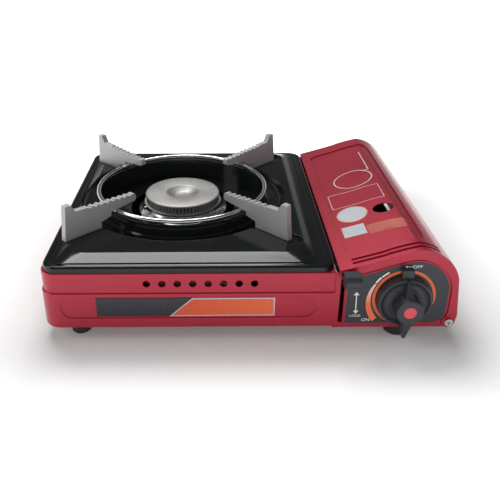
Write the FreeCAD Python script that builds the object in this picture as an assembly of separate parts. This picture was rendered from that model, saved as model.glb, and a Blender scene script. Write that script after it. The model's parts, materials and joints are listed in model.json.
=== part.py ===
# Portable butane cassette stove: a steel tray with a burner side and a cartridge bay.
# Modelled in millimetres from the tray's front left corner on the ground,
# X to the right, Y to the back, Z up, and moved at the end so that the origin
# is the middle of the stove's footprint.
import FreeCAD, Part
import math
import os

V = FreeCAD.Vector
os.makedirs("parts", exist_ok=True)

# Driving dimensions: overall
sheet = 1.0                  # steel sheet of tray, lid and plate
foot_height = 10.0
body_depth = 260.0
burner_side_length = 237.0   # left wall to the bay partition
tray_height = 51.2           # tray floor to the flange that carries the top plate
wall_step = 1.2              # upper walls stand in by this above the waist bead
waist_height = 33.5          # tray floor to the waist bead
corner_radius = 14.0
rim_flange = 9.0             # inward flange under the top plate
running_gap = 0.3            # between pieces that move past each other
floor_z = foot_height + sheet
tray_top = foot_height + tray_height

tray_bottom_radius = 2.5

# Lid and bay
lid_left = 238.4
lid_left_z = 64.0
lid_slope_x = 272.4
lid_slope_z = 73.9
lid_crown_x = 301.0
lid_crown_z = 82.6
lid_shoulder_x = 333.0
lid_shoulder_z = 55.5
lid_right = 336.8
lid_right_z = 21.5
pivot_x = 330.3
pivot_z = 15.7
pivot_radius = 2.0
pivot_clearance = 0.06
pivot_lug_radius = 5.5
lid_skirt_bottom = 17.6
lid_recess = 1.3
sight_hole_radius = 8.8
sight_hole_x = 290.6
sight_hole_y = 84.0
bay_right_wall_x = 327.5
bay_right_wall_z = 24.0

# Control panel
panel_thickness = 0.8
panel_left = 245.7
panel_right = 326.8
panel_bottom = 14.5
panel_left_z = 56.4
panel_crown_x = 299.6
panel_crown_z = 71.9
panel_shoulder_z = 45.0
panel_corner = 12.0
panel_frame = 1.0
panel_gap = 1.2

# Knob and valve
knob_x = 290.7
knob_z = 38.5
knob_radius = 21.7
knob_disc_back = 2.4         # gap plane: disc back face in front of the wall
knob_disc_front = 9.0
knob_hub_radius = 10.3
knob_reach = 22.5
knob_tab_radius = 28.5
knob_tip_radius = 29.0
stem_radius = 3.0
stem_clearance = 0.05
insert_radius = 5.0

# Lock lever and carriage
lever_x = 240.9
lever_plate = 2.0
lever_pivot_y = 42.0
lever_pivot_z = 45.5
lever_half_angle = 16.0
lever_reach = 56.0           # pivot to the handle's centre
crank_radius = 10.0
arm_half_width = 2.5
arm_tip_half_width = 1.6
crank_pin_radius = 1.8
slot_left = 240.3
slot_right = 243.7
slot_bottom = 14.8
slot_top = tray_top
handle_width = 12.6
handle_height = 11.0
handle_depth = 12.0

# Cartridge and its bay
cartridge_radius = 34.0
cartridge_x = knob_x + 1.8
cartridge_z = 45.3
cartridge_front = 48.0
cartridge_length = 186.0

# Burner
burner_x = 108.8
burner_y = 135.8
cap_radius = 35.6
cap_top = tray_top + 11.3
cap_thickness = 3.2
port_height = 4.3
port_count = 36
port_width = 1.5
lip_radius = 37.2
skirt_radius = 42.5
skirt_bottom = cap_top - 15.5
stem_outer = 14.0
tube_z = 26.0
tube_radius = 8.0
tube_wall = 1.2
jet_x = knob_x - 28.7
jet_y = 22.0

# Top plate and pot support
plate_left = 3.2
plate_right = burner_side_length - 1.0
plate_front = 1.4
plate_back = body_depth - 1.2
plate_skirt_bottom = tray_top + running_gap
plate_rim_z = plate_skirt_bottom + 5.5
plateau_z = plate_rim_z + 4.0
plateau_left = plate_left + 17.8
plateau_right = plate_right - 22.0
plateau_front = plate_front + 16.6
plateau_back = plate_back - 12.8
well_radius = 98.6
well_floor_z = plate_rim_z - 5.0
well_hole_radius = 82.0
foot_pocket_z = plateau_z - 2.4
collar_radius = 80.0
collar_top = plateau_z + 4.3
reflector_z = well_floor_z - 5.0
reflector_hole = 50.0
ring_radius = 79.1
wire_radius = 2.0
ring_z = plateau_z + 8.0
arm_thickness = 5.5
arm_outer = 130.4
arm_foot_outer = 133.5
arm_inner = 58.5
arm_horn_z = ring_z + 20.7
arm_top_outer = ring_z + 14.0
arm_top_inner = ring_z + 11.0
arm_foot_z = foot_pocket_z + running_gap
tooth_pitch = 6.0
tooth_count = 8

bay_wall_left = burner_side_length
front_reach = knob_reach
screw_head = 2.2
lid_front = -running_gap - sheet
rear_reach = body_depth + running_gap + sheet + screw_head
origin = V(-lid_right / 2, -(rear_reach - front_reach) / 2, 0)


def box(x0, y0, z0, x1, y1, z1):
    return Part.makeBox(x1 - x0, y1 - y0, z1 - z0, V(x0, y0, z0))


def cylinder(radius, start, end):
    axis = end - start
    return Part.makeCylinder(radius, axis.Length, start, axis)


def union(shapes):
    result = shapes[0]
    for shape in shapes[1:]:
        result = result.fuse(shape)
    return result.removeSplitter()


def wire_face(steps, place):
    # A step is a point, or a pair of an arc's middle and end. place maps (u, v) to space.
    edges = []
    here = place(*steps[0])
    start = here
    for step in steps[1:]:
        if isinstance(step[0], tuple):
            middle, end = place(*step[0]), place(*step[1])
            edges.append(Part.Arc(here, middle, end).toShape())
        else:
            end = place(*step)
            edges.append(Part.LineSegment(here, end).toShape())
        here = end
    if (here - start).Length > 1e-6:
        edges.append(Part.LineSegment(here, start).toShape())
    return Part.Face(Part.Wire(edges))


def front_face(steps, y=0.0):
    return wire_face(steps, lambda u, v: V(u, y, v))


def side_face(steps, x=0.0):
    return wire_face(steps, lambda u, v: V(x, u, v))


def revolved(steps, x, y):
    # Steps are radius and height about the upright axis through x, y.
    face = wire_face(steps, lambda u, v: V(x + u, y, v))
    return face.revolve(V(x, y, 0), V(0, 0, 1), 360)


def grown(face, distance):
    return face.makeOffset2D(distance) if distance else face


def rounded_slab(x0, y0, x1, y1, z0, z1, radius):
    slab = box(x0, y0, z0, x1, y1, z1)
    upright = [e for e in slab.Edges if abs(e.Vertexes[0].Z - e.Vertexes[-1].Z) > 1e-6]
    return slab.makeFillet(radius, upright)


def rounded_ends(solid, z, radius):
    # Rounds the outline of the flat face that lies at height z.
    ring = [e for e in solid.Edges if abs(e.BoundBox.ZMin - z) < 1e-4 and abs(e.BoundBox.ZMax - z) < 1e-4]
    return solid.makeFillet(radius, ring)


def prism_y(face, y0, y1):
    moved = face.copy()
    moved.translate(V(0, y0 - face.BoundBox.YMin, 0))
    return moved.extrude(V(0, y1 - y0, 0))


pieces = {}


lug_diagonal = pivot_lug_radius * math.sqrt(0.5)


def lid_outline():
    return front_face([
        (lid_left, lid_left_z),
        (lid_slope_x, lid_slope_z),
        (((lid_slope_x + lid_crown_x) / 2 + 0.8, lid_slope_z + 0.61 * (lid_crown_z - lid_slope_z)),
         (lid_crown_x, lid_crown_z)),
        ((lid_crown_x + 0.63 * (lid_shoulder_x - lid_crown_x), lid_crown_z - 8.3),
         (lid_shoulder_x, lid_shoulder_z)),
        (lid_right, lid_right_z),
        (pivot_x + pivot_lug_radius, pivot_z),
        ((pivot_x + lug_diagonal, pivot_z - lug_diagonal), (pivot_x, pivot_z - pivot_lug_radius)),
        (lid_left, pivot_z - pivot_lug_radius),
    ])


def panel_outline():
    corner = panel_corner
    middle = corner * (1 - math.sqrt(0.5))
    return front_face([
        (panel_left, panel_bottom),
        (panel_left, panel_left_z),
        (panel_left + 22.0, panel_left_z + 6.4),
        ((panel_left + 39.0, panel_left_z + 12.3), (panel_crown_x, panel_crown_z)),
        ((panel_right - 7.6, panel_crown_z - 9.4), (panel_right, panel_shoulder_z)),
        (panel_right, panel_bottom + corner),
        ((panel_right - middle, panel_bottom + middle), (panel_right - corner, panel_bottom)),
    ])


def make_tray():
    inner_profile = grown(lid_outline(), -(sheet + 0.6))
    arch = prism_y(inner_profile, 0, body_depth)
    arch = arch.common(box(bay_wall_left - 2, -1, foot_height, lid_right, body_depth + 1, 200))
    lug_ends = cylinder(pivot_lug_radius - 0.4, V(pivot_x, 0, pivot_z), V(pivot_x, body_depth, pivot_z))
    lower = rounded_slab(0, 0, bay_wall_left + 30, body_depth, foot_height, foot_height + waist_height,
                         corner_radius)
    lower = rounded_ends(lower, foot_height, tray_bottom_radius)
    lower = rounded_ends(lower, foot_height + waist_height, wall_step)
    lower = lower.common(box(0, 0, 0, bay_wall_left + 10, body_depth, 100))
    upper = rounded_slab(wall_step, wall_step, bay_wall_left + 30, body_depth - wall_step,
                         foot_height + waist_height - sheet, tray_top, corner_radius - wall_step)
    upper = rounded_ends(upper, tray_top, sheet)
    upper = upper.common(box(0, 0, 0, bay_wall_left, body_depth, 100))
    bay_base = box(bay_wall_left, 0, foot_height, bay_right_wall_x, body_depth, foot_height + 8)
    joggle = box(bay_wall_left - sheet, 0, foot_height, lid_left + 4, body_depth, tray_top)
    outer = union([lower, upper, arch, bay_base, lug_ends, joggle])

    inner_lower = rounded_slab(sheet, sheet, bay_wall_left + 30, body_depth - sheet, floor_z,
                               foot_height + waist_height - sheet, corner_radius - sheet)
    inset = wall_step + sheet
    inner_upper = rounded_slab(inset, inset, bay_wall_left + 30, body_depth - inset,
                               foot_height + waist_height - sheet, tray_top - sheet,
                               corner_radius - inset)
    left_half = box(0, 0, 0, bay_wall_left, body_depth, 200)
    opening = rounded_slab(rim_flange, rim_flange, bay_wall_left - 4, body_depth - rim_flange,
                           tray_top - 2 * sheet, 200, 6.0)
    bay = box(bay_wall_left + sheet, sheet, floor_z, bay_right_wall_x - sheet, body_depth - sheet, 200)
    doorway = box(bay_wall_left - 6, inset, floor_z, bay_wall_left + 2, body_depth - inset, 200)
    doorway = doorway.cut(box(bay_wall_left - 7, 0, tray_top - sheet, bay_wall_left - 1, body_depth, 201))
    bay = bay.fuse(doorway)
    above = box(bay_wall_left + 2, sheet, bay_right_wall_z, 400, body_depth - sheet, 200)
    beyond = box(bay_right_wall_x, sheet, 0, 400, body_depth - sheet, 200)
    hollow = union([inner_lower.common(left_half), inner_upper.common(left_half), opening, bay, above, beyond])
    tray = outer.cut(hollow)

    # The label band is pressed in along the front wall.
    band = front_face([(24, 20), (214, 20), ((222, 30), (214, 40)), (24, 40), ((16, 30), (24, 20))])
    tray = tray.fuse(prism_y(grown(band, 1.0), sheet - 0.01, sheet + label_recess))
    tray = tray.cut(prism_y(band, -0.01, label_recess))

    for index in range(vent_count):
        x = vent_start + index * vent_pitch
        tray = tray.cut(cylinder(vent_radius, V(x, -1, vent_z), V(x, 4, vent_z)))
    tray = tray.cut(box(slot_left, -1, slot_bottom, slot_right, 3, slot_top))
    tray = tray.cut(cylinder(stem_hole_radius, V(knob_x, -1, knob_z), V(knob_x, 3, knob_z)))
    for y0, y1 in ((-1, 3), (body_depth - 3, body_depth + 1)):
        tray = tray.cut(cylinder(pivot_radius, V(pivot_x, y0, pivot_z), V(pivot_x, y1, pivot_z)))
    for x, y, radius in foot_places:
        tray = tray.cut(cylinder(foot_stud_radius, V(x, y, foot_height - 1), V(x, y, floor_z + 1)))
    frame = grown(panel_outline(), panel_frame).cut(panel_outline())
    frame = frame.extrude(V(0, -panel_thickness, 0))
    tray = tray.fuse(frame)
    pieces["body_shell"] = tray.removeSplitter()


vent_count = 8
vent_start = 86.2
vent_pitch = 12.24
vent_z = tray_top - 9.7
vent_radius = 3.0
label_recess = 0.8
stem_hole_radius = 6.0
foot_stud_radius = 2.0
foot_places = [(28.0, 14.0, 8.5), (292.0, 11.0, 10.5), (28.0, 240.0, 8.5), (292.0, 240.0, 8.5)]
foot_names = ["foot_front_left", "foot_front_right", "foot_rear_left", "foot_rear_right"]


def make_feet():
    for name, (x, y, radius) in zip(foot_names, foot_places):
        pad = revolved([
            (0, 0), (radius - 1.5, 0), (radius - 0.6, 1.0), (radius, foot_height), (0, foot_height),
        ], x, y)
        stud = cylinder(foot_stud_radius, V(x, y, foot_height - 1), V(x, y, floor_z))
        head = cylinder(foot_stud_radius + 1.6, V(x, y, floor_z), V(x, y, floor_z + 1.2))
        dimple = cylinder(radius * 0.4, V(x, y, 0), V(x, y, 1.0))
        pieces[name] = union([pad.cut(dimple), stud, head])


def make_partition():
    end = wall_step + sheet
    wall = box(bay_wall_left - sheet, end, floor_z, bay_wall_left, body_depth - end, tray_top - sheet)
    foot = box(bay_wall_left - 9, end, floor_z, bay_wall_left, body_depth - end, floor_z + sheet)
    wall = wall.fuse(foot)
    along = tube_direction()
    middle = V(burner_x, burner_y, tube_z)
    hole = cylinder(tube_radius + tube_hole_gap, middle, middle + along * 200)
    wall = wall.cut(hole)
    wall = wall.cut(cylinder(lead_radius + 0.8, V(bay_wall_left - 3, lead_y, lead_z), V(bay_wall_left + 1, lead_y, lead_z)))
    wall = wall.cut(cylinder(pivot_pin_radius, V(bay_wall_left - 2, lever_pivot_y, lever_pivot_z),
                             V(bay_wall_left + 1, lever_pivot_y, lever_pivot_z)))
    pieces["bay_partition"] = wall.removeSplitter()


pivot_pin_radius = 2.5
tube_hole_gap = 0.5
lead_radius = 1.3
lead_y = 66.0
lead_z = 14.0


def tube_direction():
    along = V(jet_x - burner_x, jet_y - burner_y, 0)
    along.normalize()
    return along


def make_lid():
    outline = lid_outline()
    back = body_depth + running_gap + sheet

    def solid(depth, margin):
        return prism_y(grown(outline, -depth) if depth else outline, lid_front + margin, back - margin)

    panel = rounded_slab(lid_panel_left, lid_panel_front, lid_panel_right, lid_panel_back, 40, 120, 8.0)
    panel_under = rounded_slab(lid_panel_left - sheet, lid_panel_front - sheet, lid_panel_right + sheet,
                               lid_panel_back + sheet, 40, 120, 8.0 + sheet)
    beads = [rounded_slab(lid_panel_left + 2, y, lid_panel_right + 8, y + 3.2, 40, 120, 1.5)
             for y in (3.6, 9.2)]
    beads_under = [rounded_slab(lid_panel_left + 2 - sheet, y - sheet, lid_panel_right + 8 + sheet,
                                y + 3.2 + sheet, 40, 120, 1.5 + sheet) for y in (3.6, 9.2)]
    outer = solid(0, 0)
    inner = solid(sheet, sheet)
    outer_low = solid(lid_recess, 0)
    inner_low = solid(lid_recess + sheet, sheet)
    for tool in [panel] + beads:
        outer = outer.cut(tool.cut(outer_low))
    for tool in [panel_under] + beads_under:
        inner = inner.cut(tool.cut(inner_low))
    lid = outer.cut(inner)

    # Only the two end flanges reach down round the pivots.
    lid = lid.cut(box(lid_left - 1, -running_gap, 0, lid_right + 1, body_depth + running_gap, lid_skirt_bottom))
    lid = lid.cut(box(lid_left - 1, -running_gap, 0, lid_left + sheet + 1, body_depth + running_gap,
                      tray_top + running_gap))
    lid = lid.cut(box(lid_left - 1, -5, 0, panel_left + 1, back + 5, slot_top + 0.5))
    mouth = grown(panel_outline(), panel_frame + panel_gap)
    mouth = prism_y(mouth, lid_front - 1, back + 1)
    below = box(lid_left - 1, lid_front - 1, 0, pivot_x - pivot_lug_radius - 1, back + 1, panel_bottom + 4)
    below = below.fuse(box(lid_left - 1, lid_front - 1, 0, pivot_x, back + 1, pivot_z + 1))
    for cutter in (mouth, below):
        lid = lid.cut(cutter.common(box(0, lid_front - 1, 0, 400, 0.01, 200)))
        lid = lid.cut(cutter.common(box(0, body_depth, 0, 400, back + 1, 200)))
    for y0, y1 in ((lid_front, lid_front + sheet), (back - sheet, back)):
        lug = cylinder(pivot_lug_radius, V(pivot_x, y0, pivot_z), V(pivot_x, y1, pivot_z))
        lid = lid.fuse(lug)
        lid = lid.cut(cylinder(pivot_radius + pivot_clearance, V(pivot_x, y0 - 1, pivot_z),
                               V(pivot_x, y1 + 1, pivot_z)))
    lid = lid.cut(cylinder(sight_hole_radius, V(sight_hole_x, sight_hole_y, 60), V(sight_hole_x, sight_hole_y, 100)))
    pieces["lid"] = lid.removeSplitter()


lid_panel_left = 247.0
lid_panel_right = 309.0
lid_panel_front = 18.5
lid_panel_back = 243.0


def make_pivot_screws():
    screws = []
    for wall, out in ((0.0, -1), (body_depth, 1)):
        lid_face = wall + out * (running_gap + sheet)
        head_in = lid_face + out * 0.2
        head_out = lid_face + out * screw_head
        shank = cylinder(pivot_radius, V(pivot_x, wall - out * 4, pivot_z), V(pivot_x, head_in, pivot_z))
        head = cylinder(3.4, V(pivot_x, head_in, pivot_z), V(pivot_x, head_out, pivot_z))
        nut = cylinder(3.6, V(pivot_x, wall - out * sheet, pivot_z), V(pivot_x, wall - out * 3.4, pivot_z))
        nut = nut.common(box(bay_right_wall_x, -10, 0, lid_right, body_depth + 10, 200))
        cross = box(pivot_x - 1.9, head_out - 0.9, pivot_z - 0.4, pivot_x + 1.9, head_out + 0.9, pivot_z + 0.4)
        cross = cross.fuse(box(pivot_x - 0.4, head_out - 0.9, pivot_z - 1.9, pivot_x + 0.4, head_out + 0.9,
                               pivot_z + 1.9))
        screws.append(union([shank, head, nut]).cut(cross))
    pieces["pivot_screws"] = Part.makeCompound(screws)


def make_panel():
    panel = panel_outline().extrude(V(0, -panel_thickness, 0))
    panel = panel.cut(cylinder(stem_hole_radius, V(knob_x, -3, knob_z), V(knob_x, 3, knob_z)))
    pieces["control_panel"] = panel
    label = front_face([(45, 21.5), (188.6, 21.5), (188.6, 40 - 1.2), (45, 40 - 1.2)], label_recess)
    pieces["front_label"] = label.extrude(V(0, -0.5, 0))


def make_knob():
    disc = cylinder(knob_radius, V(knob_x, -knob_disc_back, knob_z), V(knob_x, -knob_disc_front, knob_z))
    rim = [e for e in disc.Edges if abs(e.BoundBox.YMin + knob_disc_front) < 1e-3 and e.Length > 50]
    disc = disc.makeFillet(2.0, rim)
    scoop = Part.makeTorus(15.6, 4.6, V(knob_x, -knob_disc_front - 2.6, knob_z), V(0, 1, 0))
    disc = disc.cut(scoop)
    hub = Part.makeCone(knob_hub_radius + 0.8, knob_hub_radius, knob_reach - 5.0, V(knob_x, -5.0, knob_z),
                        V(0, -1, 0))
    up = knob_radius - 0.5
    down = knob_tip_radius
    base = front_face([
        (knob_x - 1.0, knob_z + up), (knob_x + 1.0, knob_z + up), (knob_x + 5.6, knob_z),
        (knob_x + 1.0, knob_z - down), (knob_x - 1.0, knob_z - down), (knob_x - 5.6, knob_z),
    ], -3.0)
    blade = base.extrude(V(0, -(knob_reach - 4.0), 0))
    ridge = side_face([
        (-3.0, knob_z + up), (-10.5, knob_z + up), (-knob_reach + 0.8, knob_z + 6),
        (-knob_reach + 0.8, knob_z - 6), (-15.0, knob_z - down), (-6.0, knob_z - down),
    ], knob_x - 20)
    blade = blade.common(ridge.extrude(V(40, 0, 0)))
    tab = box(knob_x - 4.6, -6.5, knob_z, knob_x + 4.6, -knob_disc_back, knob_z + knob_tab_radius)
    knob = union([disc, hub, blade, tab])
    knob = knob.cut(cylinder(insert_radius, V(knob_x, -knob_reach - 1, knob_z), V(knob_x, -knob_reach + 1.4, knob_z)))
    knob = knob.cut(cylinder(stem_radius, V(knob_x, 0, knob_z), V(knob_x, -stem_front, knob_z)))
    pieces["knob"] = knob
    pieces["knob_insert"] = cylinder(insert_radius, V(knob_x, -knob_reach + 1.4, knob_z),
                                     V(knob_x, -knob_reach + 0.1, knob_z))
    stem = cylinder(stem_radius, V(knob_x, -stem_front, knob_z), V(knob_x, stem_back, knob_z))
    collar = cylinder(4.4, V(knob_x, -1.9, knob_z), V(knob_x, -knob_disc_back, knob_z))
    pieces["valve_stem"] = union([stem, collar])


stem_front = 17.0
stem_back = 13.0


def make_lever():
    top = math.radians(lever_half_angle)
    pivot = V(0, lever_pivot_y, lever_pivot_z)

    def reach(distance, rise=0.0):
        # Along the arm towards the handle, and square to it.
        y = lever_pivot_y - distance * math.cos(top) + rise * math.sin(top)
        z = lever_pivot_z + distance * math.sin(top) + rise * math.cos(top)
        return (y, z)

    tip = lever_reach + 2
    arm = side_face([
        reach(0, -arm_half_width), reach(0, arm_half_width),
        reach(tip, arm_tip_half_width), reach(tip, -arm_tip_half_width),
    ], lever_x).extrude(V(lever_plate, 0, 0))
    pin_y = lever_pivot_y + crank_radius * math.sin(top)
    pin_z = lever_pivot_z + crank_radius * math.cos(top)
    side = V(0, math.cos(top), -math.sin(top)) * 3.2
    crank = side_face([
        (pivot.y - side.y, pivot.z - side.z), (pivot.y + side.y, pivot.z + side.z),
        (pin_y + side.y, pin_z + side.z), (pin_y - side.y, pin_z - side.z),
    ], lever_x).extrude(V(lever_plate, 0, 0))

    def disc(y, z, radius):
        return cylinder(radius, V(lever_x, y, z), V(lever_x + lever_plate, y, z))

    plate = union([arm, crank, disc(pivot.y, pivot.z, 6.0), disc(pin_y, pin_z, 3.2)])
    plate = plate.cut(disc(pivot.y, pivot.z, pivot_pin_radius + stem_clearance))
    plate = plate.cut(disc(pin_y, pin_z, crank_pin_radius))
    pieces["lever_arm"] = plate
    pieces["lever_pin"] = cylinder(crank_pin_radius, V(lever_x, pin_y, pin_z), V(ear_x + sheet + 2.0, pin_y, pin_z))
    washer = cylinder(3.4, V(bay_wall_left, pivot.y, pivot.z), V(lever_x - running_gap, pivot.y, pivot.z))
    pin = cylinder(pivot_pin_radius, V(bay_wall_left - 1, pivot.y, pivot.z),
                   V(lever_x + lever_plate + running_gap, pivot.y, pivot.z))
    head = cylinder(4.2, V(lever_x + lever_plate + running_gap, pivot.y, pivot.z),
                    V(lever_x + lever_plate + running_gap + 1.2, pivot.y, pivot.z))
    pieces["lever_pivot"] = union([washer, pin, head])

    y, z = reach(lever_reach)
    back = y + handle_depth / 2
    front = y - handle_depth / 2
    low = z - handle_height / 2
    high = z + handle_height / 2
    grip = side_face([
        (back, low), (back, high), (y, high), ((front, z), (y, low)),
    ], handle_left).extrude(V(handle_width, 0, 0))
    grip = grip.cut(arm)
    pieces["lever_handle"] = grip


handle_left = 240.2
ear_x = 245.2


def make_carriage():
    top = math.radians(lever_half_angle)
    pin_y = lever_pivot_y + crank_radius * math.sin(top)
    pin_z = lever_pivot_z + crank_radius * math.cos(top)
    low = floor_z + running_gap
    high = low + sheet
    rear = cartridge_front + cartridge_length
    left_strip = box(ear_x, pin_y + 9, low, 268, rear + sheet, high)
    right_strip = box(316, cartridge_front + 8, low, bay_right_wall_x - sheet - running_gap, rear + sheet, high)
    tie = box(ear_x, rear - 10, low, bay_right_wall_x - sheet - running_gap, rear + sheet, high)
    tie = tie.cut(cylinder(cartridge_radius + 0.4, V(cartridge_x, rear - 11, cartridge_z),
                           V(cartridge_x, rear, cartridge_z)))
    push = front_face([
        (cartridge_x - 30, low), (cartridge_x - 30, cartridge_z), ((cartridge_x, cartridge_z + 26),
         (cartridge_x + 30, cartridge_z)), (cartridge_x + 30, low),
    ], rear).extrude(V(0, sheet, 0))
    ear = box(ear_x, pin_y + 9, low, ear_x + sheet, pin_y + 17, pin_z + 4.5)
    ear = ear.fuse(box(ear_x, pin_y - 6, pin_z - 6, ear_x + sheet, pin_y + 17, pin_z + 4.5))
    slot_half = crank_pin_radius + 0.4
    ear = ear.cut(box(ear_x - 1, pin_y - slot_half, pin_z - 4, ear_x + 3, pin_y + slot_half, pin_z + 2.8))
    parts = [left_strip, right_strip, tie, push, ear]
    for y in cradle_places:
        web = box(cartridge_x - 32, y, low, cartridge_x + 32, y + sheet, low + 13)
        web = web.cut(cylinder(cartridge_radius + 0.4, V(cartridge_x, y - 1, cartridge_z),
                               V(cartridge_x, y + 3, cartridge_z)))
        parts.append(web)
    carriage = union(parts)
    for x, y in rivet_places:
        travel = carriage_travel() + 0.6
        carriage = carriage.cut(box(x - 2.3, y - 2.3, low - 1, x + 2.3, y + 2.3 + travel, high + 1))
    pieces["carriage"] = carriage
    rivets = []
    for x, y in rivet_places:
        shank = cylinder(2.0, V(x, y, floor_z), V(x, y, high + running_gap))
        head = cylinder(3.8, V(x, y, high + running_gap), V(x, y, high + running_gap + 1.2))
        rivets.append(shank.fuse(head))
    pieces["guide_rivets"] = Part.makeCompound(rivets)


cradle_places = [78.0, 196.0]
rivet_places = [(254.0, 72.0), (254.0, 205.0), (321.2, 90.0), (321.2, 205.0)]


def carriage_travel():
    return 2 * crank_radius * math.sin(math.radians(lever_half_angle))


def make_governor():
    back = 36.0
    body = box(knob_x - 19, 10, 26, knob_x + 17, back, 52)
    body = body.makeFillet(3.0, [e for e in body.Edges if abs(e.Vertexes[0].Y - e.Vertexes[-1].Y) > 1])
    boss = cylinder(8.5, V(knob_x, sheet, knob_z), V(knob_x, 11, knob_z))
    inlet = cylinder(13.0, V(cartridge_x, back - 1, cartridge_z), V(cartridge_x, back + 5, cartridge_z))
    outlet = box(knob_x - 24, jet_y - 7, tube_z - 6, knob_x - 12, jet_y + 7, tube_z + 8)
    body = union([body, boss, inlet, outlet])
    body = body.cut(cylinder(stem_radius + stem_clearance, V(knob_x, 0, knob_z), V(knob_x, stem_back + 1, knob_z)))
    body = body.cut(cylinder(6.0, V(cartridge_x, back - 4, cartridge_z), V(cartridge_x, back + 6, cartridge_z)))
    pieces["governor_body"] = body
    seal = cylinder(6.0, V(cartridge_x, back + 1, cartridge_z), V(cartridge_x, back + 4.5, cartridge_z))
    seal = seal.cut(cylinder(2.6, V(cartridge_x, back, cartridge_z), V(cartridge_x, back + 6, cartridge_z)))
    pieces["inlet_seal"] = seal
    centre = V(knob_x - 1, 22.4, 52)
    cover = revolved([(0, 52), (12, 52), (12, 54.2), (7.6, 54.2), (6.8, 58), (0, 58)], centre.x, centre.y)
    pieces["governor_cover"] = cover
    screws = []
    for index in range(4):
        angle = math.radians(45 + 90 * index)
        x = centre.x + 9.9 * math.cos(angle)
        y = centre.y + 9.9 * math.sin(angle)
        screws.append(cylinder(1.7, V(x, y, 54.2), V(x, y, 55.6)))
    pieces["governor_screws"] = Part.makeCompound(screws)

    bracket = box(knob_x - 17, back, floor_z, knob_x + 23, back + 1.2, cartridge_z + 21)
    bracket = bracket.fuse(box(knob_x - 17, back - 14, floor_z, knob_x + 23, back + 1.2, floor_z + 1.2))
    bracket = bracket.cut(cylinder(13.0, V(cartridge_x, back - 1, cartridge_z), V(cartridge_x, back + 3, cartridge_z)))
    key = box(cartridge_x - 2, back + 1.2, cartridge_z + 15.5, cartridge_x + 2, back + 7.5, cartridge_z + 17.5)
    bracket = bracket.fuse(key)
    pieces["governor_bracket"] = bracket

    along = tube_direction()
    tip = V(jet_x, jet_y, tube_z)
    start = tip - along * -6.0
    nozzle = cylinder(4.0, start, tip).fuse(Part.makeCone(4.0, 1.6, 6.0, tip, along * -1))
    nozzle = nozzle.fuse(cylinder(4.0, V(jet_x + 3, jet_y, tube_z), V(knob_x - 24, jet_y, tube_z)))
    pieces["gas_nozzle"] = nozzle.cut(pieces["governor_body"])


def make_igniter():
    left = igniter_left
    case = box(left, sheet + 3, 44, left + 12, 40, 57)
    case = case.makeFillet(1.5, [e for e in case.Edges if abs(e.Vertexes[0].Y - e.Vertexes[-1].Y) > 1])
    plunger = cylinder(3.0, V(left + 6, sheet, 50.5), V(left + 6, sheet + 3, 50.5))
    terminal = cylinder(2.0, V(left + 6, 40, 50.5), V(left + 6, 43, 50.5))
    pieces["piezo_igniter"] = union([case, plunger, terminal])


igniter_left = 250.5


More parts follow.
